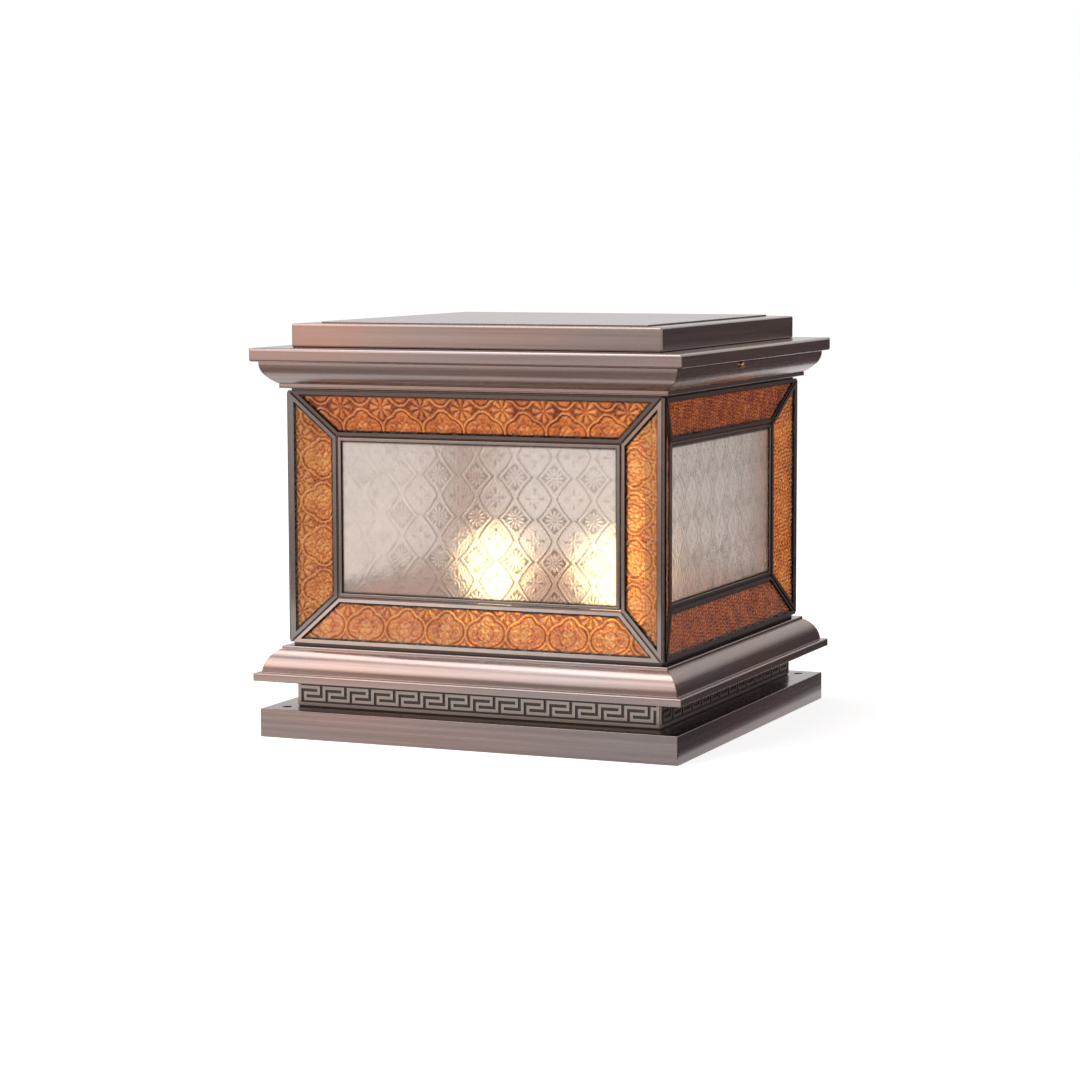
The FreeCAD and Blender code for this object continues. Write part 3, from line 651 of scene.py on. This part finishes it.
def relief_pane(name, front, back, relief, depth, spacing, shade, material, index):
    """Closed slab: a grid on the front corners raised by the relief, a flat back and four walls.
    Corners run anticlockwise from the lower left as seen from outside; the relief is worked out
    at distances across and up the side. For the material, the mesh keeps a tone, which shade
    makes of the relief: painted shade in the grooves and a painted highlight on the ridges, to
    which shade may add more painted light. It also keeps a rim mask, 1 along the rim and 0 inside
    it, which turns the glass black there: grime and painted shade."""
    grime_and_shade_width, grime_and_shade_blur = 0.0023, 0.00012
    normal = outward(front)
    edges = np.roll(front, -1, axis=0) - front
    lengths = [np.linalg.norm(edge) for edge in edges]
    columns = int(max(lengths[0], lengths[2]) / spacing) + 1
    rows = int(max(lengths[1], lengths[3]) / spacing) + 1
    s, t = np.meshgrid(np.linspace(0, 1, columns + 1), np.linspace(0, 1, rows + 1))
    flat = bilinear(front, s, t)
    level = relief(flat[..., 0], flat[..., 2])
    rim_distance = np.min([(flat - start) @ np.cross(normal, edge / length)
                           for start, edge, length in zip(front, edges, lengths)], axis=0)
    # Grime and painted shade: a mask that is 1 within a few millimetres of the rim, where the glass
    # goes black along its channels.
    grime_and_shade = within(rim_distance - grime_and_shade_width, grime_and_shade_blur)
    grid = flat + (depth * (level - 1))[..., None] * normal
    behind = bilinear(back, around(s), around(t))
    points = turned_to(np.concatenate([grid.reshape(-1, 3), behind]), index)
    numbers = np.arange(level.size).reshape(level.shape)
    quads = np.stack([numbers[:-1, :-1], numbers[:-1, 1:], numbers[1:, 1:], numbers[1:, :-1]], -1)
    quads = quads.reshape(-1, 4)
    rim = around(numbers)
    ring = numbers.size + np.arange(len(rim))
    walls = np.stack([rim, ring, np.roll(ring, -1), np.roll(rim, -1)], -1)
    faces = np.concatenate([quads, walls]).tolist() + [ring[::-1].tolist()]
    mesh = bpy.data.meshes.new(name)
    mesh.from_pydata(points.tolist(), [], faces)
    smooth = np.zeros(len(faces), bool)
    smooth[:len(quads)] = True
    mesh.polygons.foreach_set("use_smooth", smooth)
    for label, values in (("tone", shade(level, flat)), ("grime_and_shade", grime_and_shade)):
        kept = mesh.attributes.new(label, "FLOAT", "POINT")
        kept.data.foreach_set("value", np.concatenate([values.ravel(), np.zeros(len(rim))]))
    mesh.materials.append(material)
    pane = bpy.data.objects.new(name, mesh)
    bpy.context.scene.collection.objects.link(pane)
    return pane


def rolled_glass(name, sunk, even, raised, mottle, transmission, roughness, glow):
    """Glass whose tone carries painted shade, deeper in the grooves, and a painted highlight, paler
    on the ridges, and which is black along its rim with grime and painted shade; a slow mottle
    shifts the tone. Its glow is painted light: an even emission of its own colour."""
    mottle_scale, mottle_detail = 95.0, 3.0
    grime_and_shade_black = (0.012, 0.009, 0.007, 1.0)
    material, tree, shader = new_surface(name, {
        "Transmission Weight": transmission, "IOR": 1.5, "Roughness": roughness,
        "Emission Strength": glow, "Specular IOR Level": 0.55})

    def kept(label):
        """Value that the pane's mesh keeps under this name."""
        node = tree.nodes.new("ShaderNodeAttribute")
        node.attribute_name = label
        return node.outputs["Fac"]

    drift = ranged(tree, noise(tree, object_place(tree), mottle_scale, mottle_detail),
                   -mottle, mottle)
    tone = tree.nodes.new("ShaderNodeValToRGB")
    tone.color_ramp.elements[0].color = (*sunk, 1.0)
    tone.color_ramp.elements[1].color = (*raised, 1.0)
    tone.color_ramp.elements.new(0.5).color = (*even, 1.0)
    total = calculated(tree, "ADD", kept("tone"), drift)
    tree.links.new(ranged(tree, total, 0.0, 1.0, -1.0, 1.0), tone.inputs["Fac"])
    # The rim turns black: grime and painted shade along the channels.
    colour = mixed(tree, kept("grime_and_shade"), tone.outputs["Color"], grime_and_shade_black)
    tree.links.new(colour, shader.inputs["Base Color"])
    tree.links.new(colour, shader.inputs["Emission Color"])
    return material


# Each ramp runs from painted shade in the grooves to a painted highlight on the ridges. The ambers'
# glow is painted light, an even emission that stands in for the bulbs' light from inside.
amber = rolled_glass("amber_glass", (0.12, 0.02, 0.003), (0.72, 0.205, 0.024), (1.0, 0.64, 0.19),
                     mottle=0.7, transmission=0.76, roughness=0.26, glow=0.15)
clear = rolled_glass("clear_glass", (0.19, 0.125, 0.09), (0.93, 0.875, 0.84), (1.0, 0.975, 0.94),
                     mottle=0.25, transmission=0.82, roughness=0.24, glow=0.0)


def painted_bulb_light(level, at):
    """Tone of the clear glass at the front and back, with painted light from the bulbs behind it: the
    figure's painted shade and highlight read strongly near a place before the bulbs, right of the
    middle, and faintly away from it. The fall is e to the minus (distance / reach) squared, across
    and up."""
    place_x, place_z, reach_across, reach_up = 0.04, 0.12, 0.07, 0.068
    faint, added = 0.12, 1.25
    near = ridge(at[..., 0] - place_x, reach_across) * ridge(at[..., 2] - place_z, reach_up)
    return level * (faint + added * near)


def painted_pale_ends(level, at):
    """Tone of the clear glass at the ends, made paler all over as painted light."""
    contrast, painted_lift = 0.75, 0.15
    return contrast * level + painted_lift


def side_corners():
    """Outer corners of one side and the corners of its fold line, where the sloping ambers meet
    the clear pane's channel, in the front's place."""
    half_groove = 0.0007
    low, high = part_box("border_came_front")
    fold_low, fold_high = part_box("centre_came_front")

    def corners(x, y, z0, z1):
        return np.array([(-x, y, z0), (x, y, z0), (x, y, z1), (-x, y, z1)])

    return (corners(high.x, low.y, low.z, high.z),
            corners(fold_high.x + half_groove, fold_low.y, fold_low.z - half_groove,
                    fold_high.z + half_groove))


outer, inner = side_corners()

# Where the glass lies in its channels, and how much further in its back edge is at the outside.
front_depth = 0.001
stile_inset, rail_inset, fold_inset = 0.0026, 0.0019, 0.0019
stile_slant, rail_slant = 0.0045, 0.0008

# The relief's height, the spacing of its points, and where a medallion's centre falls.
amber_depth, amber_spacing = 0.0006, 0.00048
clear_depth, clear_spacing = 0.00018, 0.00058
amber_origin = {"bottom": (0.0082, 0.0756), "right": (0.1118, 0.0994), "top": (0.0061, 0.2078),
                "left": (-0.1114, 0.0994)}
clear_across, clear_up = 0.0138, 0.1373
clear_shift = {"front": 0.0, "right": 0.0095, "back": 0.004, "left": -0.006}
amber_seed, seeds_per_side, clear_seed = 7, 5, 3

# Weights of figure and skin, and the shift of an amber's tone, paler above 0 and deeper below:
# painted light and painted shade by where light falls on each strip. At the front and back the
# top strip is darker and the others paler; at the ends all but the right strip are darker.
end_relief, stile_relief, rail_relief = (0.2, 0.55), (1.0, 0.26), (1.15, 0.14)
face_painted_light = {"bottom": 0.12, "right": 0.3, "top": -0.25, "left": 0.2}
end_painted_shade = {"bottom": -1.0, "right": 0.0, "top": -1.0, "left": -1.0}

for index, side in enumerate(SIDES):
    end = side in ("left", "right")
    for i, place in enumerate(("bottom", "right", "top", "left")):
        j = (i + 1) % 4
        upright = place in ("left", "right")
        outside, slant = (stile_inset, stile_slant) if upright else (rail_inset, rail_slant)
        figure, skin = end_relief if end else stile_relief if upright else rail_relief
        # The strip's painted light or painted shade, by where light falls on it.
        painted_light_shift = (end_painted_shade if end else face_painted_light)[place]
        seed = amber_seed + seeds_per_side * index + i
        corners = np.array([outer[i], outer[j], inner[j], inner[i]])
        normal = outward(corners)
        front = inset_corners(corners, [outside, fold_inset, fold_inset, fold_inset])
        back = inset_corners(corners, [outside + slant, fold_inset, fold_inset, fold_inset])
        pane = relief_pane("rolled_amber_%s_%s" % (side, place), front - normal * front_depth,
                           back - normal * (front_depth + glass_thick),
                           lambda a, b: begonia(a, b, amber_origin[place], seed, figure, skin),
                           amber_depth, amber_spacing, lambda level, at: level + painted_light_shift,
                           amber, index)
        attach(pane, "lantern")
        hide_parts("amber_%s_%s" % (side, place))
    origin = (clear_across + clear_shift[side], clear_up)
    normal = outward(inner)
    front = inset_corners(inner, [fold_inset] * 4)
    pane = relief_pane("rolled_clear_" + side, front - normal * front_depth,
                       front - normal * (front_depth + glass_thick),
                       lambda a, b: diaper(a, b, origin, clear_seed + index),
                       clear_depth, clear_spacing, painted_pale_ends if end else painted_bulb_light,
                       clear, index)
    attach(pane, "lantern")
    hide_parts("clear_pane_" + side)

# ---- Roof ----
# Four mitred cornice lengths of bronze-plated sheet on a dark skirt that goes over the collar, a
# square cap frame with a rim, and a flat top plate on the rim.
top_bronze = brushed_metal("top_bronze", (0.25, 0.195, 0.18), (0.235, 0.195, 0.187), 0.25,
                           mitred=0.0)
for side in SIDES:
    finish_node("cornice_" + side, bronze, 0.0022, 4, by_room=True)
finish_node("cap_frame", bronze, 0.0014, 4, by_room=True)
finish_node("top_plate", top_bronze, 0.0004)
finish_node("roof_skirt", dark_steel)

# ---- Locking screws ----
# Two small brass screws, one through the cornice at each end, which reach in to the collar and
# hold the roof on it.
brass = plain_material("brass_screw", (0.72, 0.50, 0.22), 0.25, metallic=1.0)
for side in ("left", "right"):
    finish_node("lock_screw_" + side, brass)
